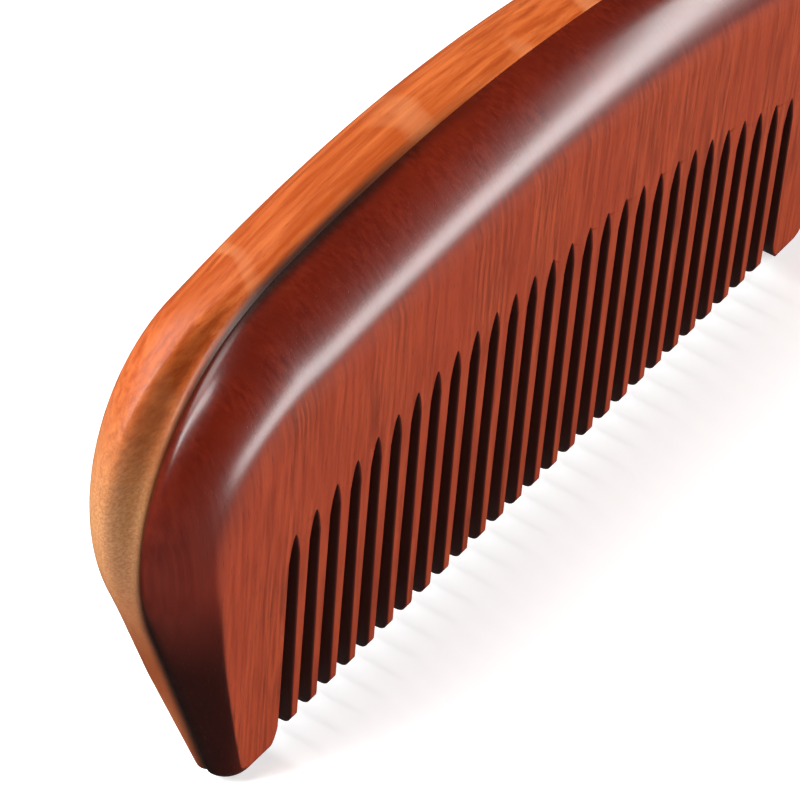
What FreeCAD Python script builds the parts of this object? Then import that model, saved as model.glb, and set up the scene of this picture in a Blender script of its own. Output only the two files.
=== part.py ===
import FreeCAD, Part
import math
import os

import Sketcher
from FreeCAD import Placement, Rotation, Vector

# A wooden beard comb, standing on the tips of its two end guards.
# +X runs along the row of teeth, +Y from the front face to the back, +Z from the tips to the spine.
# Two leaves of wood are glued face to face along an upright plane, shaped as one blank, grooved
# along the joint at one end, and then sawn through to make the teeth, which end just above the
# guards' tips.

TOUCH = 0.001                        # mm; two places nearer than this are the same place

doc = FreeCAD.newDocument("beard_comb")
sheet = doc.addObject("Spreadsheet::Sheet", "sizes")

SIZES = [
    # the row of teeth
    ("pitch", 2.6),                  # centre of one tooth to the centre of the next
    ("tooth_count", 27),
    ("slot_root_width", 1.2),        # the saw slots are narrower at the root than at the tips
    ("slot_tip_width", 1.75),
    ("slot_point_height", 1.8),      # each slot closes to a blunt point over this height
    ("slot_point_width", 0.3),
    ("slot_below", 2.0),             # each slot starts this far below the guard tips
    ("root_arc_radius", 99.0),       # the slots end along this arc, so the end teeth are shorter
    ("root_arc_x", -5.2),
    ("root_arc_top", 31.0),
    # the ends of the teeth: shorter than the guards, and rounded over toward both faces
    ("tooth_tip_height", 1.3),
    ("front_nose_radius", 1.9),
    ("rear_nose_radius", 1.1),
    # the outline, seen from the front
    ("height", 48.45),
    ("crest_radius", 151.0),
    ("crest_x", -12.3),
    ("near_shoulder_radius", 17.0),
    ("far_shoulder_radius", 15.0),
    ("near_lean", 14.2),             # degrees that each end leans outward from its tip
    ("far_lean", 12.0),
    ("guard_tip_radius", 2.9),       # the outer corner of each guard's tip
    ("guard_inner_radius", 3.75),    # the corner beside the teeth
    ("near_tip_x", -39.6),           # centres of the rounded guard tips
    ("far_tip_x", 39.66),
    # the depth, from the glue line to each face
    ("glue_thickness", 0.12),
    ("front_depth_tip", 2.3),
    ("front_depth_crest", 7.4),
    ("rear_depth_tip", 1.0),
    ("rear_depth_crest", 8.8),
    # rounding of each face's rim, as a share of its leaf's depth there
    ("front_round_share", 0.7),
    ("rear_round_share", 0.55),
    # the groove along the glue line: each leaf's inner edge is chamfered from an outline that lies
    # a little inside the comb's, and well inside it round the near shoulder
    ("seam_inset", 0.3),
    ("seam_shoulder_radius", 20.5),
    ("front_groove_angle", 35.0),    # degrees between each chamfer and a line square to the glue line
    ("rear_groove_angle", 50.0),
    # where the blank sits in the frame
    ("blank_x", 0.86),
    ("blank_y", -0.565),
]
for row, (alias, number) in enumerate(SIZES, start=1):
    sheet.set("A%d" % row, alias)
    sheet.set("B%d" % row, str(number))
    sheet.setAlias("B%d" % row, alias)
doc.recompute()


def size(alias):
    return float(sheet.get(alias))


def bind(obj, path, formula):
    """Ties a property to the sheet: every word of the formula that is an alias is looked up there."""
    aliases = {alias for alias, number in SIZES}
    words = ["sizes." + word if word in aliases else word for word in formula.split(" ")]
    obj.setExpression(path, "".join(words))


def origin_plane(body, role):
    return [feature for feature in body.Origin.OriginFeatures if feature.Role == role][0]


def new_sketch(body, name, role):
    sketch = body.newObject("Sketcher::SketchObject", name)
    sketch.AttachmentSupport = [(origin_plane(body, role), "")]
    sketch.MapMode = "FlatFace"
    return sketch


def constrain(sketch, name, formula, *values):
    """Adds a dimension whose value is a formula of the sheet's sizes."""
    index = sketch.addConstraint(Sketcher.Constraint(*values))
    sketch.renameConstraint(index, name)
    bind(sketch, "Constraints." + name, formula)


def point(x, z):
    return Vector(x, z, 0)


def side_and_shoulder(tip_x, lean, shoulder_radius, side, inset):
    """Centres of one end's shoulder arc, found where it touches the leaning side and the crest."""
    tip_radius = size("guard_tip_radius") - inset
    outward = Vector(side * math.cos(lean), -math.sin(lean), 0)
    upward = Vector(side * math.sin(lean), math.cos(lean), 0)
    tip_centre = point(tip_x, size("guard_tip_radius"))
    start = tip_centre + outward * (tip_radius - shoulder_radius)
    crest_centre = point(size("crest_x"), size("height") - size("crest_radius"))
    gap = start - crest_centre
    along = gap.dot(upward)
    reach = size("crest_radius") - inset - shoulder_radius
    rise = -along + math.sqrt(along * along - gap.dot(gap) + reach * reach)
    return tip_centre, outward, start + upward * rise, crest_centre


def arc(centre, radius, start, end):
    """A circular arc, anticlockwise from one angle to another, in radians."""
    circle = Part.Circle(centre, Vector(0, 0, 1), radius)
    return Part.ArcOfCircle(circle, start, end)


def angle_of(vector):
    return math.atan2(vector.y, vector.x)


def draw_outline(sketch, near_shoulder="near_shoulder_radius", inset_by=None):
    """The comb seen from the front: a flat foot, two rounded guard tips, leaning ends, two shoulders
    and a long crest, every joint between them tangent. The inset moves it all inward."""
    inset = size(inset_by) if inset_by else 0.0
    less = " - " + inset_by if inset_by else ""
    near_radius = size(near_shoulder)
    far_radius = size("far_shoulder_radius") - inset
    near_tip, near_out, near_centre, crest = side_and_shoulder(
        size("near_tip_x"), math.radians(size("near_lean")), near_radius, -1, inset)
    far_tip, far_out, far_centre, crest = side_and_shoulder(
        size("far_tip_x"), math.radians(size("far_lean")), far_radius, 1, inset)
    tip_radius = size("guard_tip_radius") - inset
    crest_radius = size("crest_radius") - inset
    near_up = angle_of(near_centre - crest)
    far_up = angle_of(far_centre - crest)
    down = -math.pi / 2
    left_turn = 2 * math.pi
    foot, near_tip_arc, near_side, near_bend, top, far_bend, far_side, far_tip_arc = range(8)
    sketch.addGeometry([
        Part.LineSegment(point(far_tip.x, inset), point(near_tip.x, inset)),
        arc(near_tip, tip_radius, angle_of(near_out) + left_turn, down + left_turn),
        Part.LineSegment(near_tip + near_out * tip_radius, near_centre + near_out * near_radius),
        arc(near_centre, near_radius, near_up, angle_of(near_out) + left_turn),
        arc(crest, crest_radius, far_up, near_up),
        arc(far_centre, far_radius, angle_of(far_out), far_up),
        Part.LineSegment(far_centre + far_out * far_radius, far_tip + far_out * tip_radius),
        arc(far_tip, tip_radius, down, angle_of(far_out)),
    ], False)
    joints = [
        (foot, 2, near_tip_arc, 2),
        (near_tip_arc, 1, near_side, 1),
        (near_side, 2, near_bend, 2),
        (near_bend, 1, top, 2),
        (top, 1, far_bend, 2),
        (far_bend, 1, far_side, 1),
        (far_side, 2, far_tip_arc, 2),
        (far_tip_arc, 1, foot, 1),
    ]
    for first, first_end, second, second_end in joints:
        sketch.addConstraint(Sketcher.Constraint("Tangent", first, first_end, second, second_end))
    sketch.addConstraint(Sketcher.Constraint("Horizontal", foot))
    constrain(sketch, "near_tip_r", "guard_tip_radius" + less, "Radius", near_tip_arc, tip_radius)
    constrain(sketch, "far_tip_r", "guard_tip_radius" + less, "Radius", far_tip_arc, tip_radius)
    constrain(sketch, "near_bend_r", near_shoulder, "Radius", near_bend, near_radius)
    constrain(sketch, "far_bend_r", "far_shoulder_radius" + less, "Radius", far_bend, far_radius)
    constrain(sketch, "crest_r", "crest_radius" + less, "Radius", top, crest_radius)
    constrain(sketch, "near_tip_x", "near_tip_x", "DistanceX", -1, 1, near_tip_arc, 3, near_tip.x)
    constrain(sketch, "far_tip_x", "far_tip_x", "DistanceX", -1, 1, far_tip_arc, 3, far_tip.x)
    constrain(sketch, "tip_z", "guard_tip_radius", "DistanceY", -1, 1, near_tip_arc, 3, near_tip.y)
    constrain(sketch, "crest_x", "crest_x", "DistanceX", -1, 1, top, 3, crest.x)
    constrain(sketch, "crest_z", "height - crest_radius", "DistanceY", -1, 1, top, 3, crest.y)
    constrain(sketch, "near_angle", "90 + near_lean", "Angle", near_side, math.radians(90 + size("near_lean")))
    constrain(sketch, "far_angle", "-90 - far_lean", "Angle", far_side, math.radians(-90 - size("far_lean")))


def leaf_depth(face, z):
    """How deep one leaf is at a height, from the glue line's middle to its planed face."""
    tip = size(face + "_depth_tip")
    return tip + (size(face + "_depth_crest") - tip) * z / size("height")


def new_blank(face, side):
    """One leaf before its edges are rounded: the outline padded away from the glue line, then planed
    to a wedge that is thin at the tips and thick at the spine. side is -1 for the front, 1 for the rear."""
    body = doc.addObject("PartDesign::Body", face + "_blank")
    outline = new_sketch(body, face + "_outline", "XZ_Plane")
    draw_outline(outline)
    bind(outline, "AttachmentOffset.Base.z", "%d * glue_thickness / 2" % -side)
    pad = body.newObject("PartDesign::Pad", face + "_pad")
    pad.Profile = outline
    pad.Reversed = side > 0
    bind(pad, "Length", face + "_depth_crest")

    # What the plane takes off is a triangle from the tip up to the crest.
    wedge = new_sketch(body, face + "_wedge", "YZ_Plane")
    height = size("height")
    crest_y = side * size(face + "_depth_crest")
    past_y = 2 * crest_y
    at_tip = Vector(side * size(face + "_depth_tip"), 0, 0)
    at_crest = Vector(crest_y, height, 0)
    corners = [at_tip, at_crest, Vector(past_y, height, 0), Vector(past_y, 0, 0)]
    for corner, following in zip(corners, corners[1:] + corners[:1]):
        wedge.addGeometry(Part.LineSegment(corner, following), False)
    slope, top, back, foot = range(4)
    for line, following in ((slope, top), (top, back), (back, foot), (foot, slope)):
        wedge.addConstraint(Sketcher.Constraint("Coincident", line, 2, following, 1))
    wedge.addConstraint(Sketcher.Constraint("Horizontal", top))
    wedge.addConstraint(Sketcher.Constraint("Vertical", back))
    wedge.addConstraint(Sketcher.Constraint("PointOnObject", foot, 1, -1))
    wedge.addConstraint(Sketcher.Constraint("PointOnObject", foot, 2, -1))
    toward = "%d * " % side
    constrain(wedge, "at_tip", toward + face + "_depth_tip", "DistanceX", -1, 1, slope, 1, at_tip.x)
    constrain(wedge, "at_crest", toward + face + "_depth_crest", "DistanceX", -1, 1, slope, 2, crest_y)
    constrain(wedge, "past", toward + "2 * " + face + "_depth_crest", "DistanceX", -1, 1, back, 1, past_y)
    constrain(wedge, "up_to", "height", "DistanceY", -1, 1, slope, 2, height)
    planing = body.newObject("PartDesign::Pocket", face + "_planing")
    planing.Profile = wedge
    planing.Midplane = True
    bind(planing, "Length", "4 * far_tip_x")
    doc.recompute()
    return body


def round_rim(face, side, blank):
    """Rounds the rim of a leaf's planed face, by a share of the leaf's depth at each height."""
    rounded = doc.addObject("Part::Fillet", face + "_rounded")
    rounded.Base = blank
    radii = []
    for number, edge in enumerate(blank.Shape.Edges, start=1):
        start = edge.valueAt(edge.FirstParameter)
        middle = edge.valueAt((edge.FirstParameter + edge.LastParameter) / 2)
        end = edge.valueAt(edge.LastParameter)
        if all(abs(side * place.y - leaf_depth(face, place.z)) < TOUCH for place in (start, middle, end)):
            share = size(face + "_round_share")
            radii.append((number, share * leaf_depth(face, start.z), share * leaf_depth(face, end.z)))
    rounded.Edges = radii
    doc.recompute()
    return rounded


def chamfer_seam(face, side, rounded):
    """Keeps what lies inside a pad that flares away from the glue line, which leaves the groove."""
    body = doc.addObject("PartDesign::Body", face + "_flare")
    outline = new_sketch(body, face + "_flare_outline", "XZ_Plane")
    draw_outline(outline, "seam_shoulder_radius", "seam_inset")
    bind(outline, "AttachmentOffset.Base.z", "%d * glue_thickness / 2" % -side)
    pad = body.newObject("PartDesign::Pad", face + "_flare_pad")
    pad.Profile = outline
    pad.Reversed = side > 0
    bind(pad, "Length", face + "_depth_crest")
    bind(pad, "TaperAngle", face + "_groove_angle")
    doc.recompute()
    layer = doc.addObject("Part::Common", face + "_layer")
    layer.Base = rounded
    layer.Tool = body
    return layer


def new_slot(number):
    """One saw slot as two wedges: a tapering run from below the tips, and the blunt point that closes it."""
    middle = "( %d - tooth_count / 2 ) * pitch" % number
    root = ("( root_arc_top - root_arc_radius + sqrt( root_arc_radius ^ 2 - ( " + middle
            + " - root_arc_x ) ^ 2 ) )")
    neck = root + " - slot_point_height"
    # A wedge grows along its own Y, so it is laid over to grow along Z.
    upright = Placement(Vector(0, 0, 0), Rotation(Vector(1, 0, 0), 90))
    parts = []
    for name, low, high, low_width, high_width in (
            ("run", "-1 * slot_below", neck, "slot_tip_width", "slot_root_width"),
            ("point", neck, root, "slot_root_width", "slot_point_width")):
        wedge = doc.addObject("Part::Wedge", "slot_%s_%d" % (name, number))
        wedge.Placement = upright
        bind(wedge, "Placement.Base.x", middle)
        bind(wedge, "Ymin", low)
        bind(wedge, "Ymax", high)
        for side, sign in (("min", "-1 * "), ("max", "")):
            bind(wedge, "X" + side, sign + low_width + " / 2")
            bind(wedge, "X2" + side, sign + high_width + " / 2")
            bind(wedge, "Z" + side, sign + "rear_depth_crest * 2")
            bind(wedge, "Z2" + side, sign + "rear_depth_crest * 2")
        parts.append(wedge)
    return parts


def chain(sketch, corners):
    """Closes the sketch's lines and arcs into one loop, each ending where the next one starts."""
    for (first, first_end), (second, second_end) in corners:
        sketch.addConstraint(Sketcher.Constraint("Coincident", first, first_end, second, second_end))


def new_nose_trim():
    """What the teeth lose at their ends: a channel along the row, rounded over toward both faces."""
    body = doc.addObject("PartDesign::Body", "nose_trim")
    section = new_sketch(body, "nose_section", "YZ_Plane")
    low = size("tooth_tip_height")
    wide = size("height") / 2
    bottom = Vector(0, -size("slot_below"), 0)
    sides = []
    for face, side in (("front", -1), ("rear", 1)):
        radius = size(face + "_nose_radius")
        centre = Vector(side * (leaf_depth(face, low + radius) - radius), low + radius, 0)
        sides.append((centre, radius, Vector(side * wide, centre.y, 0), Vector(side * wide, bottom.y, 0)))
    (front, front_radius, front_out, front_low), (rear, rear_radius, rear_out, rear_low) = sides
    down = -math.pi / 2
    front_ledge, front_nose, nose_flat, rear_nose, rear_ledge, rear_wall, floor, front_wall = range(8)
    section.addGeometry([
        Part.LineSegment(front_out, front - Vector(front_radius, 0, 0)),
        arc(front, front_radius, 2 * down, down),
        Part.LineSegment(front - Vector(0, front_radius, 0), rear - Vector(0, rear_radius, 0)),
        arc(rear, rear_radius, down, 0),
        Part.LineSegment(rear + Vector(rear_radius, 0, 0), rear_out),
        Part.LineSegment(rear_out, rear_low),
        Part.LineSegment(rear_low, front_low),
        Part.LineSegment(front_low, front_out),
    ], False)
    chain(section, [
        ((front_ledge, 2), (front_nose, 1)),
        ((rear_nose, 2), (rear_ledge, 1)),
        ((rear_ledge, 2), (rear_wall, 1)),
        ((rear_wall, 2), (floor, 1)),
        ((floor, 2), (front_wall, 1)),
        ((front_wall, 2), (front_ledge, 1)),
    ])
    section.addConstraint(Sketcher.Constraint("Tangent", front_nose, 2, nose_flat, 1))
    section.addConstraint(Sketcher.Constraint("Tangent", nose_flat, 2, rear_nose, 1))
    section.addConstraint(Sketcher.Constraint("Horizontal", front_nose, 3, front_nose, 1))
    section.addConstraint(Sketcher.Constraint("Horizontal", rear_nose, 3, rear_nose, 2))
    for line in (front_ledge, nose_flat, rear_ledge, floor):
        section.addConstraint(Sketcher.Constraint("Horizontal", line))
    for line in (rear_wall, front_wall):
        section.addConstraint(Sketcher.Constraint("Vertical", line))
    constrain(section, "tip_height", "tooth_tip_height", "DistanceY", -1, 1, nose_flat, 1, low)
    constrain(section, "floor_height", "-1 * slot_below", "DistanceY", -1, 1, floor, 1, bottom.y)
    for face, side, nose, centre, wall in (
            ("front", -1, front_nose, front, front_wall), ("rear", 1, rear_nose, rear, rear_wall)):
        radius = face + "_nose_radius"
        depth = ("( " + face + "_depth_tip + ( " + face + "_depth_crest - " + face
                 + "_depth_tip ) * ( tooth_tip_height + " + radius + " ) / height )")
        constrain(section, face + "_r", radius, "Radius", nose, size(radius))
        constrain(section, face + "_y", "%d * ( " % side + depth + " - " + radius + " )",
                  "DistanceX", -1, 1, nose, 3, centre.x)
        constrain(section, face + "_wide", "%d * height / 2" % side, "DistanceX", -1, 1, wall, 1, side * wide)
    pad = body.newObject("PartDesign::Pad", "nose_pad")
    pad.Profile = section
    pad.Midplane = True
    bind(pad, "Length", "tooth_count * pitch")
    doc.recompute()
    return body


def new_guard_trim(end, side):
    """What one guard loses at the corner beside the teeth. side is -1 at the near end, 1 at the far end."""
    body = doc.addObject("PartDesign::Body", end + "_guard_trim")
    corner = new_sketch(body, end + "_guard_corner", "XZ_Plane")
    radius = size("guard_inner_radius")
    tip_x = size(end + "_tip_x")
    slot_x = side * size("tooth_count") * size("pitch") / 2
    bottom = -size("slot_below")
    centre = point(tip_x, radius)
    inward = point(tip_x - side * radius, radius)
    down = -math.pi / 2
    start, finish = (down, 0) if side < 0 else (2 * down, down)
    at_tip, at_side = (1, 2) if side < 0 else (2, 1)
    bend, ledge, slot_wall, floor, tip_wall = range(5)
    corner.addGeometry([
        arc(centre, radius, start, finish),
        Part.LineSegment(inward, point(slot_x, radius)),
        Part.LineSegment(point(slot_x, radius), point(slot_x, bottom)),
        Part.LineSegment(point(slot_x, bottom), point(tip_x, bottom)),
        Part.LineSegment(point(tip_x, bottom), point(tip_x, 0)),
    ], False)
    chain(corner, [
        ((bend, at_side), (ledge, 1)),
        ((ledge, 2), (slot_wall, 1)),
        ((slot_wall, 2), (floor, 1)),
        ((floor, 2), (tip_wall, 1)),
        ((tip_wall, 2), (bend, at_tip)),
    ])
    for line in (ledge, floor):
        corner.addConstraint(Sketcher.Constraint("Horizontal", line))
    for line in (slot_wall, tip_wall):
        corner.addConstraint(Sketcher.Constraint("Vertical", line))
    corner.addConstraint(Sketcher.Constraint("Vertical", bend, 3, bend, at_tip))
    corner.addConstraint(Sketcher.Constraint("Horizontal", bend, 3, bend, at_side))
    constrain(corner, "bend_r", "guard_inner_radius", "Radius", bend, radius)
    constrain(corner, "bend_x", end + "_tip_x", "DistanceX", -1, 1, bend, 3, tip_x)
    constrain(corner, "bend_z", "guard_inner_radius", "DistanceY", -1, 1, bend, 3, radius)
    constrain(corner, "slot_x", "%d * tooth_count * pitch / 2" % side, "DistanceX", -1, 1, slot_wall, 1, slot_x)
    constrain(corner, "floor_z", "-1 * slot_below", "DistanceY", -1, 1, floor, 1, bottom)
    pad = body.newObject("PartDesign::Pad", end + "_guard_pad")
    pad.Profile = corner
    pad.Midplane = True
    bind(pad, "Length", "height")
    doc.recompute()
    return body


def new_glue_line():
    """The film of glue between the leaves, trimmed back from the outline and from the groove."""
    body = doc.addObject("PartDesign::Body", "glue_film")
    outline = new_sketch(body, "glue_outline", "XZ_Plane")
    draw_outline(outline, "seam_shoulder_radius", "seam_inset")
    pad = body.newObject("PartDesign::Pad", "glue_pad")
    pad.Profile = outline
    pad.Midplane = True
    bind(pad, "Length", "glue_thickness")
    doc.recompute()
    return body


def saw_teeth(name, whole, slots):
    """Cuts the slots through one layer, and sets the finished piece in its place."""
    piece = doc.addObject("Part::Cut", name)
    piece.Label = name
    piece.Base = whole
    piece.Tool = slots
    bind(piece, "Placement.Base.x", "blank_x")
    bind(piece, "Placement.Base.y", "blank_y")
    return piece


slots = doc.addObject("Part::MultiFuse", "slots")
slots.Shapes = [wedge for number in range(int(size("tooth_count")) + 1) for wedge in new_slot(number)]
slots.Shapes += [new_nose_trim(), new_guard_trim("near", -1), new_guard_trim("far", 1)]
doc.recompute()

pieces = [saw_teeth("glue_line", new_glue_line(), slots)]
for face, side in (("front", -1), ("rear", 1)):
    rounded = round_rim(face, side, new_blank(face, side))
    pieces.append(saw_teeth(face + "_leaf", chamfer_seam(face, side, rounded), slots))
doc.recompute()

for item in doc.Objects:
    if "Invalid" in item.State or "Error" in item.State:
        raise RuntimeError("%s did not build: %s" % (item.Name, item.State))
for piece in pieces:
    shape = piece.Shape
    if shape.isNull() or not shape.isValid() or len(shape.Solids) != 1:
        raise RuntimeError("%s is not one sound solid" % piece.Label)

os.makedirs("parts", exist_ok=True)
for piece in pieces:
    piece.Shape.exportStep("parts/%s.step" % piece.Label)
    box = piece.Shape.optimalBoundingBox()
    print("%s: %.0f mm3, x %.2f to %.2f, y %.2f to %.2f, z %.2f to %.2f" % (
        piece.Label, piece.Shape.Volume, box.XMin, box.XMax, box.YMin, box.YMax, box.ZMin, box.ZMax))
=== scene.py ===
# %% [markdown]
# # A beard comb of two woods, built around its measured frame
#
# The comb is one rigid thing: a red-brown leaf of wood in front, an orange leaf behind it, and a
# film of glue between them. Together they were shaped to a half moon, grooved along the joint at
# one end, sawn into teeth and waxed. The measured solids are loaded first and never change. Each
# leaf then gets a finer mesh and its own wood, so everything here starts from those sizes.
# %% load the frame
import math

import bmesh
import bpy
import numpy as np
from mathutils import Matrix, Quaternion, Vector


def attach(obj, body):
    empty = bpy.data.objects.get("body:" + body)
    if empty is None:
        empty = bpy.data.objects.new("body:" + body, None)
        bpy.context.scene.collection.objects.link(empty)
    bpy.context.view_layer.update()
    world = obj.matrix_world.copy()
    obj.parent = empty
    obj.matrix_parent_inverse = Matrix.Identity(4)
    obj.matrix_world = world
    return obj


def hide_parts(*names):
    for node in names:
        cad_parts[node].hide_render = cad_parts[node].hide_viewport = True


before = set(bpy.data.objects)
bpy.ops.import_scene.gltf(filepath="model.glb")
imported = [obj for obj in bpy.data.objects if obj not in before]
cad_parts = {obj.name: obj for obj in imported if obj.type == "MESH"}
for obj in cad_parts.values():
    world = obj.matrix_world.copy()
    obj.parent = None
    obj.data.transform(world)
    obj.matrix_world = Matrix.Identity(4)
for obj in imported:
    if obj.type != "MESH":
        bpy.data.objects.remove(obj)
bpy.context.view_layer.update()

MM = 0.001


# %% [markdown]
# ## The outline
#
# Seen from the front, the comb is a flat foot, two rounded guard tips, two leaning ends, two
# shoulders and one long crest. Drawing it by hand as a curve would leave flat spots in the polish.
# Tangent arcs keep it fair, and they are the same arcs that the solids were made from. Each station
# along the outline keeps its place and the direction that points inward, because every ring of the
# leaf's surface is a step inward from it.
# %% sizes of the comb, in mm
HEIGHT = 48.45
CREST_RADIUS = 151.0
CREST_X = -12.3
NEAR_SHOULDER = 17.0
FAR_SHOULDER = 15.0
NEAR_LEAN = math.radians(14.2)
FAR_LEAN = math.radians(12.0)
TIP_RADIUS = 2.9
NEAR_TIP_X = -39.6
FAR_TIP_X = 39.66
SHIFT_X = 0.86
JOINT_Y = -0.565
HALF_GLUE = 0.06
print("comb", HEIGHT, "mm high, guard tips", round(FAR_TIP_X - NEAR_TIP_X, 2), "mm apart")


# %% where a shoulder arc sits
def shoulder_centre(tip_x, lean, radius, side, inset):
    """Where one end's shoulder arc touches both the leaning end and the crest."""
    outward = np.array([side * math.cos(lean), -math.sin(lean)])
    upward = np.array([side * math.sin(lean), math.cos(lean)])
    tip = np.array([tip_x, TIP_RADIUS])
    start = tip + outward * (TIP_RADIUS - inset - radius)
    crest = np.array([CREST_X, HEIGHT - CREST_RADIUS])
    gap = start - crest
    along = gap @ upward
    reach = CREST_RADIUS - inset - radius
    rise = -along + math.sqrt(along ** 2 - gap @ gap + reach ** 2)
    return tip, outward, start + upward * rise, crest


# %% the outline as stations
STATION = 0.55
TIP_STATION = 0.3
FOOT_STATION = 1.5
DOWN = 1.5 * math.pi


def outline(near_radius=NEAR_SHOULDER, inset=0.0):
    """Stations round the comb from the near guard's tip, over the crest and back along the foot."""
    far_radius = FAR_SHOULDER - inset
    tip_radius = TIP_RADIUS - inset
    near_end = (NEAR_TIP_X, NEAR_LEAN, near_radius, -1, inset)
    near_tip, near_out, near_bend, crest = shoulder_centre(*near_end)
    far_tip, far_out, far_bend, _ = shoulder_centre(FAR_TIP_X, FAR_LEAN, far_radius, 1, inset)
    near_angle = math.atan2(near_out[1], near_out[0]) + 2 * math.pi
    far_angle = math.atan2(far_out[1], far_out[0])
    near_up = math.atan2(*(near_bend - crest)[::-1])
    far_up = math.atan2(*(far_bend - crest)[::-1])
    places, inward = [], []

    def walk_arc(centre, radius, start, end, step=STATION):
        count = max(6, int(abs(end - start) * radius / step))
        for angle in np.linspace(start, end, count, endpoint=False):
            spoke = np.array([math.cos(angle), math.sin(angle)])
            places.append(centre + spoke * radius)
            inward.append(-spoke)

    def walk_line(start, end, out, step=STATION):
        count = max(4, int(np.linalg.norm(end - start) / step))
        for share in np.linspace(0, 1, count, endpoint=False):
            places.append(start + (end - start) * share)
            inward.append(-out)

    walk_arc(near_tip, tip_radius, DOWN, near_angle, TIP_STATION)
    walk_line(near_tip + near_out * tip_radius, near_bend + near_out * near_radius, near_out)
    walk_arc(near_bend, near_radius, near_angle, near_up)
    walk_arc(crest, CREST_RADIUS - inset, near_up, far_up)
    walk_arc(far_bend, far_radius, far_up, far_angle)
    walk_line(far_bend + far_out * far_radius, far_tip + far_out * tip_radius, far_out)
    walk_arc(far_tip, tip_radius, far_angle, DOWN - 2 * math.pi, TIP_STATION)
    foot = np.array([0.0, -1.0])
    walk_line(far_tip + foot * tip_radius, near_tip + foot * tip_radius, foot, FOOT_STATION)
    return np.array(places), np.array(inward)


rim, rim_inward = outline()
print(len(rim), "stations, x", rim[:, 0].min().round(2), "to", rim[:, 0].max().round(2))

# %% [markdown]
# ## How wide the rounding is, and how deep the groove
#
# The maker rounded the spine over by hand: widely on the near shoulder, a little less along the
# crest, and only a narrow band down each guard. A single bevel can't change its width along an
# edge, so the width is written as a few values along the outline and eased between them. The groove
# is treated the same way. Its floor follows a second outline with a flatter near shoulder, and the
# distance between the two outlines is the groove's depth.
# %% easing values along the outline
steps = np.linalg.norm(np.roll(rim, -1, axis=0) - rim, axis=1)
travel = np.concatenate([[0.0], np.cumsum(steps)[:-1]])
loop_length = steps.sum()
BLUR = 3.0


def place_along(x, z):
    """Distance along the outline to the station nearest a place."""
    return travel[np.argmin(np.hypot(rim[:, 0] - x, rim[:, 1] - z))]


def eased(values):
    """Values set at places (x, z) along the outline, joined up and smoothed over BLUR mm."""
    marks = sorted((place_along(x, z), value) for x, z, value in values)
    at = np.array([mark[0] for mark in marks])
    value = np.array([mark[1] for mark in marks])
    raw = np.interp(travel, at, value, period=loop_length)
    gap = np.abs(travel[:, None] - travel[None, :])
    gap = np.minimum(gap, loop_length - gap)
    weight = np.exp(-0.5 * (gap / BLUR) ** 2) * steps[None, :]
    return weight @ raw / weight.sum(axis=1)


print("the outline is", loop_length.round(1), "mm round")

# %% width of each rounded shoulder, set at (x, z, width)
front_width = eased([
    (-39.6, 0, 1.7), (-43.5, 6, 2.0), (-46.3, 18, 3.2), (-47.8, 27, 5.4), (-44, 40, 7.6),
    (-26, 47.8, 8.0), (0, 48.0, 7.0), (25, 44, 6.6), (44, 34, 6.0), (46.5, 22, 3.6), (43, 6, 2.0),
    (39.6, 0, 1.7), (0, 0, 1.6)])
rear_width = eased([
    (-39.6, 0, 1.3), (-43.5, 6, 1.7), (-46.3, 18, 3.0), (-47.8, 27, 4.6), (-44, 40, 5.4),
    (-26, 47.8, 5.6), (0, 48.0, 5.6), (25, 44, 5.4), (44, 34, 5.0), (46.5, 22, 3.2), (43, 6, 1.7),
    (39.6, 0, 1.3), (0, 0, 1.2)])

# %% the groove's depth
SEAM_INSET = 0.3
SEAM_SHOULDER = 20.5
GROOVE_TRIM = 0.02
groove_floor, _ = outline(SEAM_SHOULDER, SEAM_INSET)
stride = np.roll(groove_floor, -1, axis=0) - groove_floor
dense = np.concatenate([groove_floor + stride * share for share in np.linspace(0, 0.9, 10)])
distances = np.linalg.norm(rim[:, None, :] - dense[None, :, :], axis=2)
groove_depth = distances.min(axis=1) - GROOVE_TRIM
print("rounding", front_width.min().round(2), "to", front_width.max().round(2),
      "mm wide; groove", groove_depth.min().round(2), "to", groove_depth.max().round(2), "mm deep")

# %% [markdown]
# ## One leaf as rings
#
# A leaf is a stack of rings. Each ring is the outline moved inward by some distance and out from the
# joint by some depth. From the joint outward they make the groove's wall, the spine, the rounded
# shoulder, and at last the flat face, which is one polygon. A subdivided box would need many loops
# to hold these edges, while rings put a vertex just where the surface bends. The front leaf's groove
# wall is rounded over toward the joint. The rear leaf's is a cove that swells to a crown, which
# gives the dark valley between the two woods. The rear leaf is a hair shallower at the crest than
# its solid, so that its rounding stays inside.
# %% depth of each leaf, at the tips and at the crest
DEPTHS = {"front": (2.3, 7.4), "rear": (1.0, 8.76)}


def face_depth(face, z):
    """Depth of a leaf's flat face from the joint, which grows from the tips to the spine."""
    tip, crest = DEPTHS[face]
    return tip + (crest - tip) * z / HEIGHT


print("leaves", [round(face_depth(face, HEIGHT), 2) for face in DEPTHS], "mm deep at the crest")

# %% groove walls
SHALLOW = 0.3
ROUND_WIDTH, ROUND_GROWTH = 0.16, 0.75
COVE_WIDTH, COVE_GROWTH = 2.1, 0.55
COVE_SHARE = 0.62
COVE_SWELL = 1.25
beyond = np.clip(groove_depth - SHALLOW, 0, None)


def round_rings():
    """The front leaf's groove wall, from the joint out: (inset, depth) of each ring."""
    width = ROUND_WIDTH + ROUND_GROWTH * beyond
    rings = []
    for angle in np.linspace(0, math.pi / 2, 7):
        rings.append((groove_depth * (1 - math.sin(angle)), HALF_GLUE + width * (1 - math.cos(angle))))
    return rings


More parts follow.
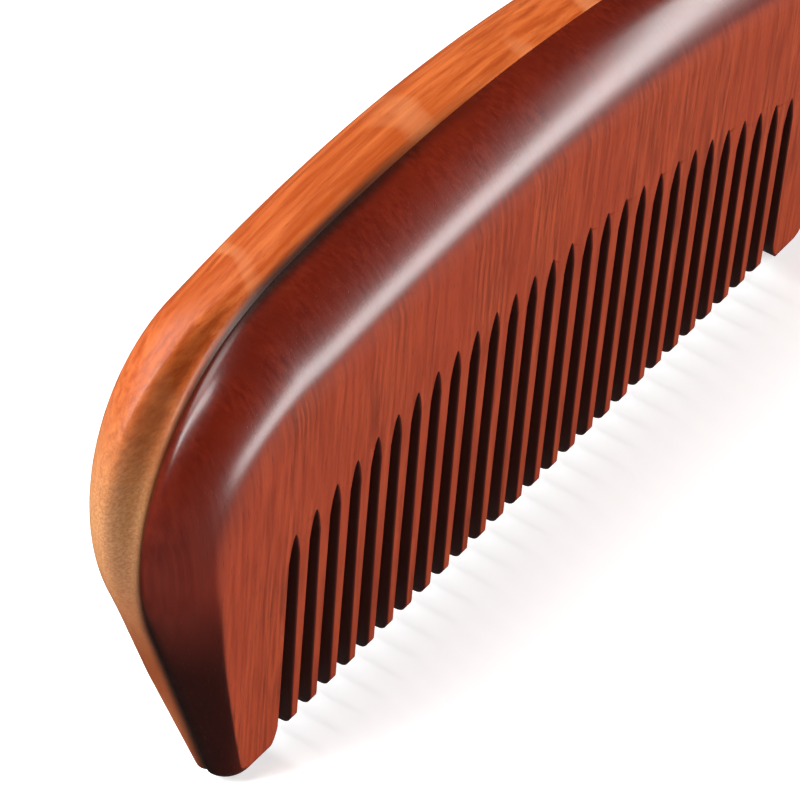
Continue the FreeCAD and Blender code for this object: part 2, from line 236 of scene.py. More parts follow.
def cove_rings():
    """The rear leaf's cove, from the joint out to its crown: (inset, depth) of each ring."""
    width = COVE_WIDTH + COVE_GROWTH * beyond
    width = np.minimum(width, COVE_SHARE * face_depth("rear", rim[:, 1]))
    rings = []
    for turn in np.linspace(0, 1, 13):
        inset = groove_depth * (1 + math.cos(math.pi * turn ** COVE_SWELL)) / 2
        inset = inset + COVE_GROWTH * beyond * math.sin(math.pi * turn) ** 2 * (1 - turn)
        rings.append((inset, HALF_GLUE + width * turn))
    return rings


print("the groove is over", SHALLOW, "mm deep at", np.count_nonzero(beyond), "stations")

# %% rounded shoulders
FULLNESS = {"front": 1.8, "rear": 2.1}


def shoulder_rings(face):
    """The rounded shoulder, from the spine to the flat face: (inset, share of the depth) of each
    ring. A fullness of 2 is an ellipse, less is leaner."""
    width = {"front": front_width, "rear": rear_width}[face]
    power = 2 / FULLNESS[face]
    rings = []
    for angle in np.linspace(0, math.pi / 2, 19)[1:]:
        rings.append((width * (1 - math.cos(angle) ** power), math.sin(angle) ** power))
    return rings


print(len(shoulder_rings("front")), "rings round each shoulder")

# %% from rings to a solid
def row_of_points(spots, depth, side):
    """One ring's points in metres, from places (x, z) and depths from the joint in mm."""
    return [((x + SHIFT_X) * MM, (JOINT_Y + side * d) * MM, z * MM) for (x, z), d in zip(spots, depth)]


def walls_between(rows, count, base=0):
    """Four-sided faces that join each ring to the next, and the two rings that close the ends."""
    faces = []
    for row in range(rows - 1):
        low = base + row * count
        for i in range(count):
            j = (i + 1) % count
            faces.append((low + i, low + j, low + count + j, low + count + i))
    faces.append(tuple(base + i for i in range(count - 1, -1, -1)))
    faces.append(tuple(base + (rows - 1) * count + i for i in range(count)))
    return faces


def solid(points, faces, name):
    """A closed object in the scene, with its faces turned outward."""
    mesh = bpy.data.meshes.new(name)
    mesh.from_pydata(points, [], faces)
    bm = bmesh.new()
    bm.from_mesh(mesh)
    bmesh.ops.recalc_face_normals(bm, faces=bm.faces)
    bm.to_mesh(mesh)
    bm.free()
    made = bpy.data.objects.new(name, mesh)
    bpy.context.scene.collection.objects.link(made)
    print(name, len(points), "points", len(faces), "faces")
    return made


# %% both leaves before sawing
def leaf(face, wall, side):
    rings = [(rim + rim_inward * inset[:, None], depth) for inset, depth in wall]
    spine_depth = rings[-1][1]
    for inset, share in shoulder_rings(face):
        spots = rim + rim_inward * inset[:, None]
        rings.append((spots, spine_depth + (face_depth(face, spots[:, 1]) - spine_depth) * share))
    points = []
    for spots, depth in rings:
        points += row_of_points(spots, depth, side)
    return solid(points, walls_between(len(rings), len(rim)), face + "_wood")


front = leaf("front", round_rings(), -1)
rear = leaf("rear", cove_rings(), 1)

# %% [markdown]
# ## Saw slots with eased edges
#
# Twenty-eight slots make the twenty-seven teeth. The saw leaves a slot that closes to a point at its
# root, and sanding then rounds every edge where a slot breaks through a face. A bevel after cutting
# would have to guess which edges to ease, so the cutter itself carries the rounding: it is a little
# wider where it meets each face, like a cotton reel. Near the tips the slots open, so each tooth
# tapers to a rounded end.
# %% where the slots are
PITCH = 2.6
TEETH = 27
ARC_RADIUS = 99.0
ARC_X = -5.2
ARC_TOP = 31.0


def slot_centre(number):
    return (number - TEETH / 2) * PITCH


def root_height(x):
    return ARC_TOP - ARC_RADIUS + math.sqrt(ARC_RADIUS ** 2 - (x - ARC_X) ** 2)


heights = [round(root_height(slot_centre(number)), 1) for number in range(TEETH + 1)]
print("slot roots", min(heights), "to", max(heights), "mm high")

# %% how wide a slot is
SLOT_ROOT = 1.2
SLOT_TIP = 1.75
BELOW = -2.0
NECK_DROP = 1.8


def half_width(z, root):
    """Half a slot's width at a height, for a slot whose root is at that height."""
    run = min(1.0, (z - BELOW) / (root - NECK_DROP - BELOW))
    return (SLOT_TIP + (SLOT_ROOT - SLOT_TIP) * run) / 2


print("half a slot at the tips:", round(half_width(BELOW, ARC_TOP), 3), "mm")

# %% one side of a slot
TIP_LEVEL = 1.3
TAPER = 1.5
TAPER_BELOW = 0.4
TOOTH_END_LOST = 0.62
TAPER_ROUND = 0.85
POINT_HEIGHT = 3.0
POINT_ROUND = 0.62
POINT_WIDTH = 0.05


def slot_side(root):
    """One side of a slot, from below the tips to its pointed root: (half width, height)."""
    side = []
    tooth_end = PITCH / 2 - half_width(TIP_LEVEL, root)
    for z in (BELOW, TIP_LEVEL - TAPER_BELOW):
        side.append((half_width(TIP_LEVEL, root) + tooth_end * TOOTH_END_LOST, z))
    for share in np.linspace(0, 1, 9):
        z = TIP_LEVEL + TAPER * share
        lost = 1 - math.sqrt(1 - (1 - share) ** 2 * TAPER_ROUND)
        side.append((half_width(z, root) + tooth_end * lost, z))
    for z in np.linspace(TIP_LEVEL + TAPER, root - POINT_HEIGHT, 5)[1:]:
        side.append((half_width(z, root), z))
    for share in np.linspace(0, 1, 9)[1:]:
        z = root - POINT_HEIGHT * (1 - share)
        arch = half_width(root - POINT_HEIGHT, root) * (1 - share) ** POINT_ROUND
        side.append((max(arch, POINT_WIDTH), z))
    return side


print(len(slot_side(ARC_TOP)), "points up one side of a slot")

# %% how much each edge is eased
EASE = 0.2
TOOTH_SHARE = 0.45
EASE_AT_POINT, EASE_GROWTH = 0.1, 0.3


def edge_ease(w):
    """The rounding beside a slot of half width w: never so wide that two of them meet on a tooth."""
    return min(EASE, TOOTH_SHARE * (PITCH / 2 - w), EASE_AT_POINT + EASE_GROWTH * w)


print("edges eased by", round(edge_ease(POINT_WIDTH), 3), "to", EASE, "mm")

# %% guard corners
CLEAR = 0.013
GUARD_CORNER = 3.75


def guard_corner(tip_x, slot_x):
    """The guard's corner beside the teeth, as a quarter circle from its tip up to the slot's side.
    It is set off by a hair, because a cut that only touches the foot leaves slivers."""
    hair = 3 * CLEAR
    points = [((tip_x + hair, BELOW), EASE)]
    for angle in np.linspace(0, math.pi / 2, 15):
        across = (slot_x - tip_x) * math.sin(angle) + hair * math.cos(angle)
        points.append(((tip_x + across, GUARD_CORNER * (1 - math.cos(angle)) - hair), EASE))
    return points


print("guard corners rounded over", GUARD_CORNER, "mm")

# %% a whole slot
def slot_loop(number):
    """The slot seen from the front: up its left side, over the pointed root, down its right side.
    The slot at each end of the row also takes the guard's corner."""
    middle = slot_centre(number)
    root = root_height(middle)
    side = slot_side(root)
    left = [((middle - w, z), edge_ease(w)) for w, z in side]
    right = [((middle + w, z), edge_ease(w)) for w, z in side][::-1]
    if number == 0:
        corner = guard_corner(NEAR_TIP_X, middle - half_width(GUARD_CORNER, root))
        left = corner + [point for point in left if point[0][1] > GUARD_CORNER]
    if number == TEETH:
        corner = guard_corner(FAR_TIP_X, middle + half_width(GUARD_CORNER, root))
        right = [point for point in right if point[0][1] > GUARD_CORNER] + corner[::-1]
    loop = left + right
    return np.array([spot for spot, ease in loop]), np.array([ease for spot, ease in loop])


print(len(slot_loop(1)[0]), "points round a slot,", len(slot_loop(0)[0]), "round an end slot")

# %% which way is out of a slot
def outward_of(loop):
    """Unit directions out of a closed clockwise loop, one for each of its points."""
    before = loop - np.roll(loop, 1, axis=0)
    after = np.roll(loop, -1, axis=0) - loop
    turned = []
    for edge in (before, after):
        edge = edge / np.maximum(np.linalg.norm(edge, axis=1), 1e-9)[:, None]
        turned.append(np.stack([-edge[:, 1], edge[:, 0]], axis=1))
    both = turned[0] + turned[1]
    return both / np.maximum(np.linalg.norm(both, axis=1), 0.5)[:, None]


print("out of the first point:", outward_of(slot_loop(1)[0])[0].round(2))

# %% cutters that pass through both leaves
OUTSIDE = 3.0
EASE_ANGLES = (0, 22.5, 45, 67.5, 90)


def reel_rows(loop, ease, face, side):
    """One face's rows of a cutter: one outside the wood, then a quarter round down to the slot."""
    rows = []
    for angle in (None, *EASE_ANGLES):
        turn = math.radians(angle or 0)
        wider = ease * (1 - math.sin(turn))
        deeper = -OUTSIDE if angle is None else ease * (1 - math.cos(turn)) - CLEAR
        spots = loop + outward_of(loop) * wider[:, None]
        rows.append(row_of_points(spots, face_depth(face, spots[:, 1]) - deeper, side))
    return rows


def through_cutter(loops, name):
    """A closed cutter for each loop, like a cotton reel: wider by its ease at each face."""
    points, faces = [], []
    for loop, ease in loops:
        rows = reel_rows(loop, ease, "front", -1) + reel_rows(loop, ease, "rear", 1)[::-1]
        faces += walls_between(len(rows), len(loop), len(points))
        for row in rows:
            points.extend(row)
    return solid(points, faces, name)


slots = through_cutter([slot_loop(number) for number in range(TEETH + 1)], "saw_slots")

# %% [markdown]
# ## Tooth noses and guard corners
#
# The teeth stop short of the guards, and each is rounded over toward both faces so that it slides
# through hair. A channel with a rounded section, run along the whole row, takes off what lies below
# the noses. It ends at the middles of the end slots, which already carry the guards' corners.
# %% the channel below the noses
NOSES = {"front": 1.9, "rear": 1.1}
CHANNEL_HALF = 12.0


def nose_arc(face, side, start, end, count):
    """A quarter circle (y, z) under the teeth's noses on one face."""
    radius = NOSES[face]
    centre_z = TIP_LEVEL + radius
    centre_y = side * (face_depth(face, centre_z) - radius)
    turns = [math.radians(angle) for angle in np.linspace(start, end, count)]
    return [(centre_y + radius * math.cos(turn), centre_z + radius * math.sin(turn)) for turn in turns]


def nose_channel():
    section = [(-CHANNEL_HALF, TIP_LEVEL + NOSES["front"])]
    section += nose_arc("front", -1, 180, 270, 11)
    section += nose_arc("rear", 1, 270, 360, 9)
    section.append((CHANNEL_HALF, TIP_LEVEL + NOSES["rear"]))
    section += [(CHANNEL_HALF, BELOW), (-CHANNEL_HALF, BELOW)]
    points = []
    for x in (slot_centre(0), slot_centre(TEETH)):
        points += [((x + SHIFT_X) * MM, (JOINT_Y + y) * MM, z * MM) for y, z in section]
    return solid(points, walls_between(2, len(section)), "nose_channel")


channel = nose_channel()


# %% sawing both leaves
def cut(piece, *cutters):
    """Takes each cutter away from a piece, one after another, and keeps the result."""
    for cutter in cutters:
        modifier = piece.modifiers.new("cut", "BOOLEAN")
        modifier.operation = "DIFFERENCE"
        modifier.solver = "EXACT"
        modifier.object = cutter
        bpy.context.view_layer.update()
        evaluated = piece.evaluated_get(bpy.context.evaluated_depsgraph_get())
        mesh = bpy.data.meshes.new_from_object(evaluated)
        piece.modifiers.clear()
        piece.data = mesh
        flat = max(face.area for face in mesh.polygons) / MM ** 2
        print(piece.name, "after", cutter.name, len(mesh.polygons), "faces, the flat", round(flat), "mm2")


for piece in (front, rear):
    cut(piece, slots, channel)
for cutter in (slots, channel):
    bpy.data.objects.remove(cutter)

# %% [markdown]
# ## Polish without losing the flats
#
# The maker sands the shoulders round by hand but leaves the planed faces dead flat, so the polish
# runs smoothly up to a soft edge and stops. The saw leaves some polygons with hundreds of corners.
# They are split into triangles first, so that every renderer fills them the same way. Smooth shading
# with normals weighted by area then does the rest: the big flat face wins over its narrow
# neighbours, and edges sharper than a sawn corner stay crisp. More polygons would do it too, but
# slower.
# %% smooth shading that keeps the flats flat
CRISP = math.radians(38)
LEAD = 80

for piece in (front, rear):
    bm = bmesh.new()
    bm.from_mesh(piece.data)
    open_edges = sum(1 for edge in bm.edges if len(edge.link_faces) != 2)
    many_sided = [face for face in bm.faces if len(face.verts) > 4]
    bmesh.ops.triangulate(bm, faces=many_sided, ngon_method="EAR_CLIP")
    bm.to_mesh(piece.data)
    volume = round(bm.calc_volume() / MM ** 3)
    print(piece.name, "open edges:", open_edges, "faces:", len(bm.faces), "volume:", volume, "mm3")
    bm.free()
    piece.data.polygons.foreach_set("use_smooth", [True] * len(piece.data.polygons))
    piece.data.set_sharp_from_angle(angle=CRISP)
    weighted = piece.modifiers.new("flat faces lead", "WEIGHTED_NORMAL")
    weighted.keep_sharp = True
    weighted.weight = LEAD

# %% [markdown]
# ## The woods
#
# Both leaves are waxed hardwood. A flat brown would look like plastic, because what the eye reads as
# wood is three scales at once: broad bands of darker and paler growth, fine streaks along the grain,
# and pores that catch dust and light. Each is a noise stretched along the grain, measured in mm, so
# the grain runs through the solid and turns corners correctly with no unwrapping. The front leaf's
# grain runs down the teeth, which keeps them strong. The rear leaf's runs along the spine, with
# pale growth rings that cross it. Where the face was planed flat it is drier and paler than the
# polished shoulder. Shade is painted into the groove along the joint and into the low near corner,
# and into the saw cuts together with the saw's own darkening. Light is painted on the orange near end.
# %% a new material and its sockets
def new_material(name):
    material = bpy.data.materials.new(name)
    material.use_nodes = True
    return material, material.node_tree, material.node_tree.nodes["Principled BSDF"]


def put(socket, value):
    """Sets an input socket, or links it when the value is another node's output."""
    if isinstance(value, bpy.types.NodeSocket):
        socket.id_data.links.new(value, socket)
    else:
        socket.default_value = value


# %% noise that follows the grain
def grain_space(tree, per_mm, turned=(0, 0, 0)):
    """The solid's own space, scaled to so many features per mm along x, y and z."""
    space = tree.nodes.new("ShaderNodeTexCoord")
    mapping = tree.nodes.new("ShaderNodeMapping")
    put(mapping.inputs["Vector"], space.outputs["Object"])
    mapping.inputs["Rotation"].default_value = turned
    mapping.inputs["Scale"].default_value = [value / MM for value in per_mm]
    return mapping.outputs["Vector"]


def noise(tree, per_mm, detail=4.0, roughness=0.55, distortion=0.0):
    texture = tree.nodes.new("ShaderNodeTexNoise")
    put(texture.inputs["Vector"], grain_space(tree, per_mm))
    texture.inputs["Scale"].default_value = 1.0
    texture.inputs["Detail"].default_value = detail
    texture.inputs["Roughness"].default_value = roughness
    texture.inputs["Distortion"].default_value = distortion
    return texture.outputs["Fac"]


# %% arithmetic on a mask
def spread(tree, value, low, high, to_low=0.0, to_high=1.0):
    """Stretches a value's range from low..high to to_low..to_high, and holds it there."""
    node = tree.nodes.new("ShaderNodeMapRange")
    node.interpolation_type = "SMOOTHSTEP"
    limits = (("From Min", low), ("From Max", high), ("To Min", to_low), ("To Max", to_high))
    for name, number in limits:
        node.inputs[name].default_value = number
    put(node.inputs["Value"], value)
    return node.outputs["Result"]


def maths(tree, operation, first, second=0.0):
    node = tree.nodes.new("ShaderNodeMath")
    node.operation = operation
    put(node.inputs[0], first)
    put(node.inputs[1], second)
    return node.outputs[0]


def times(tree, first, second):
    return maths(tree, "MULTIPLY", first, second)


def blend(tree, share, first, second):
    """Mixes two colours, each a colour or another node's output."""
    node = tree.nodes.new("ShaderNodeMix")
    node.data_type = "RGBA"
    put(node.inputs["Factor"], share)
    put(node.inputs["A"], first if isinstance(first, bpy.types.NodeSocket) else (*first, 1))
    put(node.inputs["B"], second if isinstance(second, bpy.types.NodeSocket) else (*second, 1))
    return node.outputs["Result"]


# %% pores, and where on the comb a point is
def pores(tree, per_mm, size):
    """Short open pores along the grain: 1 in a pore, 0 between them."""
    cells = tree.nodes.new("ShaderNodeTexVoronoi")
    put(cells.inputs["Vector"], grain_space(tree, per_mm))
    cells.inputs["Scale"].default_value = 1.0
    return spread(tree, cells.outputs["Distance"], size, size * 0.4)


def facing(tree, axis):
    """How squarely the surface faces along one axis of the comb, from 0 to 1."""
    surface = tree.nodes.new("ShaderNodeNewGeometry")
    parts = tree.nodes.new("ShaderNodeSeparateXYZ")
    put(parts.inputs[0], surface.outputs["Normal"])
    return maths(tree, "ABSOLUTE", parts.outputs[axis])


def place(tree, axis):
    """Place along one axis of the comb, in mm."""
    space = tree.nodes.new("ShaderNodeTexCoord")
    parts = tree.nodes.new("ShaderNodeSeparateXYZ")
    put(parts.inputs[0], space.outputs["Object"])
    return times(tree, parts.outputs[axis], 1 / MM)


def corner(tree, from_x, to_x, from_z, to_z):
    """A soft mask that grows from 0 to 1 toward one corner of the comb, in mm."""
    across = spread(tree, place(tree, "X"), from_x, to_x)
    return times(tree, across, spread(tree, place(tree, "Z"), from_z, to_z))


# %% masks of the saw walls and of the groove, with painted shade
ROW_EDGE, ROW_INSIDE = 38, 37
WALL_FROM, WALL_TO = 0.55, 0.9
# how the groove's painted shade spreads: its core, and where it fades along the crest
SHADE_CORE = 0.25
SHADE_FAR, SHADE_NEAR = 6, -22


def sawn_wall_shade(tree):
    """1 on the walls that the saw left between the teeth: painted shade in the slots, along with the
    darkening of the saw's heat and wax.
    """
    wall = spread(tree, facing(tree, "X"), WALL_FROM, WALL_TO)
    row = spread(tree, maths(tree, "ABSOLUTE", place(tree, "X")), ROW_EDGE, ROW_INSIDE)
    return times(tree, wall, row)


def groove_shade_mask(tree, reach):
    """Painted shade in the groove: 1 at the joint and 0 so many mm from it, fading out along the crest
    with the groove.
    """
    away = maths(tree, "ABSOLUTE", maths(tree, "SUBTRACT", place(tree, "Y"), JOINT_Y))
    along = spread(tree, place(tree, "X"), SHADE_FAR, SHADE_NEAR)
    return times(tree, spread(tree, away, reach, SHADE_CORE), along)


# %% fine relief
def relief(tree, shader, height, strength, depth_mm):
    bump = tree.nodes.new("ShaderNodeBump")
    bump.inputs["Strength"].default_value = strength
    bump.inputs["Distance"].default_value = depth_mm * MM
    put(bump.inputs["Height"], height)
    put(shader.inputs["Normal"], bump.outputs["Normal"])


RELIEF_STRENGTH, RELIEF_DEPTH = 0.35, 0.03
print("pores and fibres are", RELIEF_DEPTH, "mm deep")

# %% [markdown]
# ## The red leaf
#
# The front leaf was polished on its rounded shoulder and only planed on its flat face, so one wood
# shows two ways: deep and glossy, or paler and dull. Painting the border by hand would never follow
# the edge. A mask made from how squarely the surface faces the front does, because the shoulder is
# where it turns away. The same mask keeps the wax, a thin clear coat, off the flat.
# %% colours of the red wood: dark streak, pale streak, band
POLISHED = ((0.060, 0.003, 0.0006), (0.115, 0.008, 0.0008), (0.082, 0.005, 0.0006))
PLANED = ((0.105, 0.0105, 0.0009), (0.225, 0.028, 0.0036), (0.185, 0.019, 0.0018))
RED_MOTTLE = (0.17, 0.013, 0.0015)
# painted shade: the colour of the low near corner
RED_CORNER_SHADE = (0.014, 0.0013, 0.0005)
RED_PORE = (0.06, 0.008, 0.004)
# the sawn walls' colour: painted shade in the slots, along with the saw's darkening
RED_SAWN_SHADE = (0.045, 0.008, 0.004)
# painted shade in the groove along the joint
RED_GROOVE_SHADE = (0.012, 0.003, 0.0015)
FLAT_FROM, FLAT_TO = 0.93, 0.992

# %% grain of the red wood
def red_masks(tree):
    """Streaks, bands, mottle and pores down the teeth, and where the face is planed flat."""
    streaks = spread(tree, noise(tree, (2.6, 1.1, 0.05), 5, 0.6), 0.3, 0.7)
    bands = spread(tree, noise(tree, (0.32, 0.25, 0.018), 3, 0.5, 0.6), 0.35, 0.65)
    mottle = spread(tree, noise(tree, (0.12, 0.12, 0.07), 3, 0.5), 0.35, 0.7)
    pore = pores(tree, (3.4, 3.4, 0.32), 0.2)
    return streaks, bands, mottle, pore, spread(tree, facing(tree, "Y"), FLAT_FROM, FLAT_TO)


# %% gloss of the red wood
RED_COAT, RED_COAT_ROUGHNESS = 0.6, 0.24
RED_SPECULAR = 0.14
COAT_IN_JOINT, COAT_AT_CORNER = 0.15, 0.25
RED_ROUGH_POLISHED, RED_ROUGH_PLANED = 0.32, 0.55
ROUGH_STREAK, ROUGH_SAWN = 0.08, 0.2


def red_gloss(tree, shader, streaks, flat, sawn_shade, groove_shade, shaded_corner):
    """Wax on the polished shoulder only: dull where planed or sawn, and thin where shade is painted in.
    """
    dull = spread(tree, streaks, 0, 1, 0, ROUGH_STREAK)
    dull = maths(tree, "ADD", dull, spread(tree, flat, 0, 1, RED_ROUGH_POLISHED, RED_ROUGH_PLANED))
    dull = maths(tree, "ADD", dull, times(tree, sawn_shade, ROUGH_SAWN))
    put(shader.inputs["Roughness"], dull)
    wax = spread(tree, flat, 0, 1, RED_COAT, 0)
    wax = times(tree, wax, spread(tree, groove_shade, 0, 0.6, 1, COAT_IN_JOINT))
    wax = times(tree, wax, spread(tree, shaded_corner, 0, 1, 1, COAT_AT_CORNER))
    put(shader.inputs["Coat Weight"], wax)
    shader.inputs["Specular IOR Level"].default_value = RED_SPECULAR
    shader.inputs["Coat Roughness"].default_value = RED_COAT_ROUGHNESS


# %% red wood, grain down the teeth
RED_GROOVE_SHADE_REACH = 1.5
RED_SHADE_CORNER = (-36, -42, 32, 16)
CORNER_SHADE_STRENGTH = 0.93
PLANED_BANDS, MOTTLE_STRENGTH, RED_PORE_STRENGTH = 0.6, 0.30, 0.55


def red_wood():
    material, tree, shader = new_material("red_wood")
    streaks, bands, mottle, pore, flat = red_masks(tree)
    dark, pale, band = POLISHED
    polished = blend(tree, bands, blend(tree, streaks, dark, pale), band)
    dark, pale, band = PLANED
    planed = blend(tree, times(tree, bands, PLANED_BANDS), blend(tree, streaks, dark, pale), band)
    colour = blend(tree, flat, polished, planed)
    colour = blend(tree, times(tree, mottle, MOTTLE_STRENGTH), colour, RED_MOTTLE)
    # painted shade: the low near corner, away from the flat face, is darkened and gets less wax
    off_flat = spread(tree, flat, 0, 1, CORNER_SHADE_STRENGTH, 0)
    shaded_corner = times(tree, corner(tree, *RED_SHADE_CORNER), off_flat)
    colour = blend(tree, shaded_corner, colour, RED_CORNER_SHADE)
    colour = blend(tree, times(tree, pore, RED_PORE_STRENGTH), colour, RED_PORE)
    # the slot walls are darkened as painted shade, along with the saw's darkening, and made rougher
    sawn_shade = sawn_wall_shade(tree)
    colour = blend(tree, sawn_shade, colour, RED_SAWN_SHADE)
    # painted shade in the groove along the joint, which also thins the wax
    groove_shade = groove_shade_mask(tree, RED_GROOVE_SHADE_REACH)
    put(shader.inputs["Base Color"], blend(tree, groove_shade, colour, RED_GROOVE_SHADE))
    red_gloss(tree, shader, streaks, flat, sawn_shade, groove_shade, shaded_corner)
    height = maths(tree, "SUBTRACT", times(tree, streaks, 0.4), pore)
    relief(tree, shader, height, RELIEF_STRENGTH, RELIEF_DEPTH)
    print(material.name, "has", len(tree.nodes), "nodes")
    return material


woods = {"red_wood": red_wood()}

# %% [markdown]
# ## The orange leaf
#
# The rear leaf was cut with its grain along the spine, and its growth rings cross the crest as pale
# arcs. Its near end gets painted light, a paler tan, which turns browner toward the guard as painted
# shade. A wave texture gives arcs at an even distance, which looks printed. So it is bent by its own
# noise and then let through only in patches.
# %% growth rings of the orange wood
RING_TURN = (0.0, 0.5, 0.35)
RINGS_PER_MM = 0.034
RING_BEND = 5.0


def growth_rings(tree):
    """Pale arcs that cross the grain, in patches."""
    rings = tree.nodes.new("ShaderNodeTexWave")
    put(rings.inputs["Vector"], grain_space(tree, (1, 1, 1), RING_TURN))
    rings.inputs["Scale"].default_value = RINGS_PER_MM
    rings.inputs["Distortion"].default_value = RING_BEND
    rings.inputs["Detail"].default_value = 3.0
    rings.inputs["Detail Scale"].default_value = 2.2
    patchy = spread(tree, noise(tree, (0.05, 0.05, 0.05), 2), 0.42, 0.6)
    return times(tree, spread(tree, rings.outputs["Fac"], 0.80, 1.0), patchy)


# %% colours of the orange wood: dark streak, pale streak, band
ORANGE = ((0.32, 0.050, 0.008), (0.54, 0.125, 0.026), (0.38, 0.062, 0.009))
ORANGE_RING = (0.66, 0.28, 0.12)
# painted light: the paler tan of the near end, then its painted shade lower down
LIT_TAN = ((0.40, 0.17, 0.060), (0.56, 0.29, 0.120))
SHADED_TAN = (0.21, 0.045, 0.008)
TAN_HIGH_Z, TAN_LOW_Z = 34, 16
ORANGE_PORE = (0.20, 0.045, 0.015)
# the sawn walls' colour: painted shade in the slots, along with the saw's darkening
ORANGE_SAWN_SHADE = (0.06, 0.014, 0.006)
ORANGE_GROOVE_SHADE = (0.03, 0.007, 0.003)


def lit_end(tree, fibres):
    """The near end's painted light, a paler tan, turning browner toward the guard as painted shade."""
    lit_tan = blend(tree, fibres, *LIT_TAN)
    return blend(tree, spread(tree, place(tree, "Z"), TAN_HIGH_Z, TAN_LOW_Z), lit_tan, SHADED_TAN)


# %% orange wood, grain along the spine with growth rings across it
ORANGE_ROUGHNESS = (0.34, 0.46)
ORANGE_SPECULAR = 0.22
ORANGE_COAT, ORANGE_COAT_ROUGHNESS = 0.08, 0.28
ORANGE_GROOVE_SHADE_REACH = 1.3
LIT_END_CORNER = (-34, -45, 45, 33)
ORANGE_BANDS, RING_STRENGTH, LIT_END_STRENGTH = 0.5, 0.34, 0.85
ORANGE_PORE_STRENGTH, ORANGE_SAWN_SHADE_STRENGTH = 0.5, 0.9


def orange_wood():
    material, tree, shader = new_material("orange_wood")
    streaks = spread(tree, noise(tree, (0.07, 1.5, 1.5), 5, 0.6), 0.3, 0.7)
    fibres = spread(tree, noise(tree, (0.9, 5.0, 5.0), 3, 0.6), 0.3, 0.7)
    bands = spread(tree, noise(tree, (0.05, 0.3, 0.3), 3, 0.5, 0.8), 0.35, 0.65)
    pore = pores(tree, (0.4, 3.6, 3.6), 0.17)
    dark, pale, band = ORANGE
    streaked = blend(tree, streaks, dark, pale)
    colour = blend(tree, times(tree, bands, ORANGE_BANDS), streaked, band)
    colour = blend(tree, times(tree, growth_rings(tree), RING_STRENGTH), colour, ORANGE_RING)
    # painted light on the near end, with painted shade toward the guard
    lit_end_share = times(tree, corner(tree, *LIT_END_CORNER), LIT_END_STRENGTH)
    colour = blend(tree, lit_end_share, colour, lit_end(tree, fibres))
    colour = blend(tree, times(tree, pore, ORANGE_PORE_STRENGTH), colour, ORANGE_PORE)
    # the slot walls are darkened as painted shade, along with the saw's darkening
    sawn_shade = times(tree, sawn_wall_shade(tree), ORANGE_SAWN_SHADE_STRENGTH)
    colour = blend(tree, sawn_shade, colour, ORANGE_SAWN_SHADE)
    # painted shade in the groove along the joint
    groove_shade = groove_shade_mask(tree, ORANGE_GROOVE_SHADE_REACH)
    put(shader.inputs["Base Color"], blend(tree, groove_shade, colour, ORANGE_GROOVE_SHADE))
    put(shader.inputs["Roughness"], spread(tree, streaks, 0, 1, *ORANGE_ROUGHNESS))
    shader.inputs["Specular IOR Level"].default_value = ORANGE_SPECULAR
    shader.inputs["Coat Weight"].default_value = ORANGE_COAT
    shader.inputs["Coat Roughness"].default_value = ORANGE_COAT_ROUGHNESS
    height = maths(tree, "SUBTRACT", times(tree, fibres, 0.5), pore)
    relief(tree, shader, height, RELIEF_STRENGTH, RELIEF_DEPTH)
    print(material.name, "has", len(tree.nodes), "nodes")
    return material


woods["orange_wood"] = orange_wood()

# %% [markdown]
# ## The glue line
#
# Wood glue dries dark between two pale edges, and wax and dust gather on it. It shows only as a hair
# line at the bottom of the groove. The measured film is already there, so it just gets a lumpy, near
# black finish. Drawing a dark stripe on the wood would slide about wherever the groove bends.
# %% dark glue
GLUE_DARK, GLUE_PALE = (0.012, 0.004, 0.002), (0.04, 0.012, 0.006)


def dark_glue():
    material, tree, shader = new_material("dark_glue")
    lumps = noise(tree, (0.8, 0.8, 0.8), 3)
    put(shader.inputs["Base Color"], blend(tree, lumps, GLUE_DARK, GLUE_PALE))
    put(shader.inputs["Roughness"], spread(tree, lumps, 0, 1, 0.3, 0.6))
    relief(tree, shader, lumps, 0.5, 0.03)
    return material


glue = dark_glue()
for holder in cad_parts["glue_line"].material_slots:
    holder.material = glue
print("glue line", 2 * HALF_GLUE, "mm thick")

# %% each leaf takes its wood and its solid's place
for piece, node, wood in ((front, "front_leaf", "red_wood"), (rear, "rear_leaf", "orange_wood")):
    piece.data.materials.clear()
    piece.data.materials.append(woods[wood])
    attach(piece, "root")
    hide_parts(node)
    print(piece.name, "stands for", node, "in", wood)

# %% [markdown]
# ## The table and the lamps
#
# Polished wood is seen mostly by what it mirrors. One long low lamp lies along the front, so its
# image is a bright streak that follows the shoulder. A small one beside the near end lights that
# corner, and a broad one from above and behind lights the orange wood. The pale floor lights the
# teeth from below but is kept out of the gloss, because its image would wash the red out. It casts
# no shadow either, so the long lamp can hang with one end lower than the table.
# %% the floor
FLOOR_HALF = 2
FLOOR_GREYS = ((0.88, 0.88, 0.88), (0.92, 0.92, 0.92))
FLOOR_GLOW = 0.5

square = [(-FLOOR_HALF, -FLOOR_HALF, 0), (FLOOR_HALF, -FLOOR_HALF, 0),
          (FLOOR_HALF, FLOOR_HALF, 0), (-FLOOR_HALF, FLOOR_HALF, 0)]
mesh = bpy.data.meshes.new("floor")
mesh.from_pydata(square, [], [(0, 1, 2, 3)])
floor = bpy.data.objects.new("floor", mesh)
bpy.context.scene.collection.objects.link(floor)
pale, tree, shader = new_material("pale_floor")
put(shader.inputs["Base Color"], blend(tree, noise(tree, (0.02, 0.02, 0.02)), *FLOOR_GREYS))
shader.inputs["Roughness"].default_value = 0.9
shader.inputs["Specular IOR Level"].default_value = 0.1
shader.inputs["Emission Color"].default_value = (1, 1, 1, 1)
shader.inputs["Emission Strength"].default_value = FLOOR_GLOW
mesh.materials.append(pale)
floor.visible_glossy = False
floor.visible_shadow = False
print("floor", 2 * FLOOR_HALF, "m square")

# %% the lamps
LIT_SPOT = Vector((0, 0, 0.03))


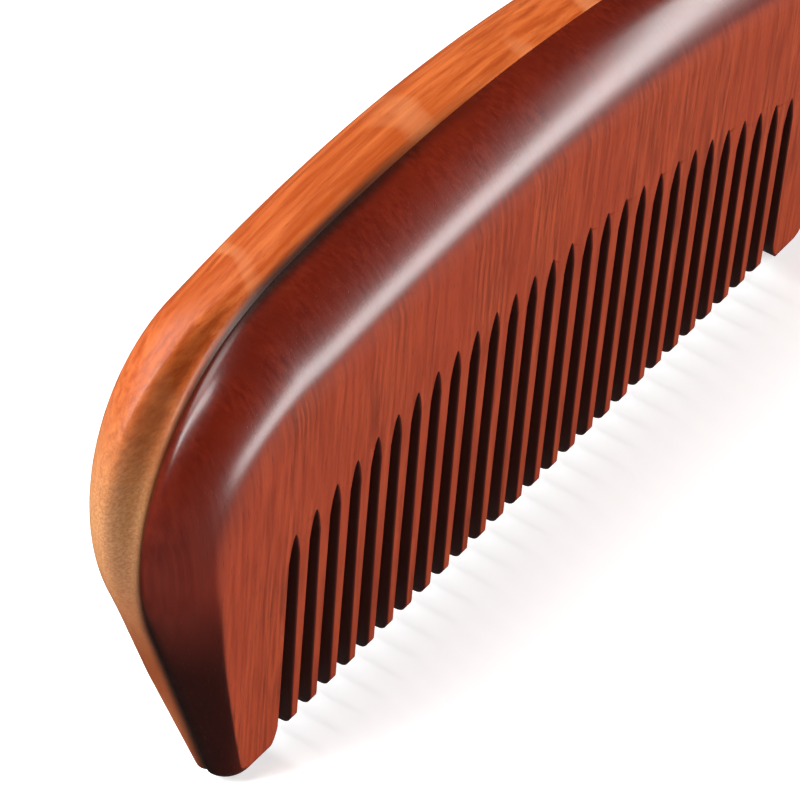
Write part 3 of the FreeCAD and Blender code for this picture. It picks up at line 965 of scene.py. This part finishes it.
def softbox(name, toward, distance, width, height, power, roll=0):
    """A soft rectangular light that faces the comb from a direction, rolled by so many degrees."""
    data = bpy.data.lights.new(name, "AREA")
    data.shape = "RECTANGLE"
    data.size, data.size_y = width, height
    data.energy = power
    lamp = bpy.data.objects.new(name, data)
    direction = Vector(toward).normalized()
    lamp.location = LIT_SPOT + direction * distance
    turned = direction.to_track_quat("Z", "Y") @ Quaternion((0, 0, 1), math.radians(roll))
    lamp.rotation_euler = turned.to_euler()
    bpy.context.scene.collection.objects.link(lamp)
    print(name, width, "by", height, "m,", power, "W")


softbox("shoulder_light", (0.59, -0.79, 0.03), 0.7, 1.25, 0.18, 12.5, 32)
softbox("end_light", (-0.62, 0.24, 0.74), 0.6, 0.14, 0.5, 4, -25)
softbox("top_light", (-0.2, 0.8, 1.0), 1.0, 0.7, 0.7, 10)

# %% the room
ROOM_STRENGTH = 0.05
world = bpy.data.worlds.new("studio")
world.use_nodes = True
background = world.node_tree.nodes["Background"]
background.inputs["Color"].default_value = (1, 1, 1, 1)
background.inputs["Strength"].default_value = ROOM_STRENGTH
bpy.context.scene.world = world
bpy.context.scene.view_settings.view_transform = "Standard"
print("room light", ROOM_STRENGTH)

# %% [markdown]
# ## The camera
#
# The comb is seen from above its near end, with a long lens that keeps the teeth almost parallel.
# The camera is set by what it aims at, how far it stands, two angles and a slight roll. That is
# easier to correct than a matrix of twelve numbers.
# %% which way the camera looks
AIM = Vector((-0.013612, 0.0, 0.021824))
DISTANCE = 0.4033
AZIMUTH, ELEVATION, ROLL = (math.radians(angle) for angle in (51.021, 44.039, 2.229))
level = math.cos(ELEVATION)
forward = Vector((math.sin(AZIMUTH) * level, math.cos(AZIMUTH) * level, -math.sin(ELEVATION)))
level_right = Vector((math.cos(AZIMUTH), -math.sin(AZIMUTH), 0))
level_up = level_right.cross(forward)
up = level_up * math.cos(ROLL) + level_right * math.sin(ROLL)
right = forward.cross(up)

# %% the camera
lens = bpy.data.cameras.new("camera")
lens.lens = 220.5
lens.sensor_width = 36
lens.clip_start = 0.01
camera = bpy.data.objects.new("camera", lens)
turn = Matrix((right, up, -forward)).transposed()
camera.matrix_world = Matrix.Translation(AIM - forward * DISTANCE) @ turn.to_4x4()
bpy.context.scene.collection.objects.link(camera)
bpy.context.scene.camera = camera
print("camera", round(DISTANCE / MM), "mm away with a", lens.lens, "mm lens")
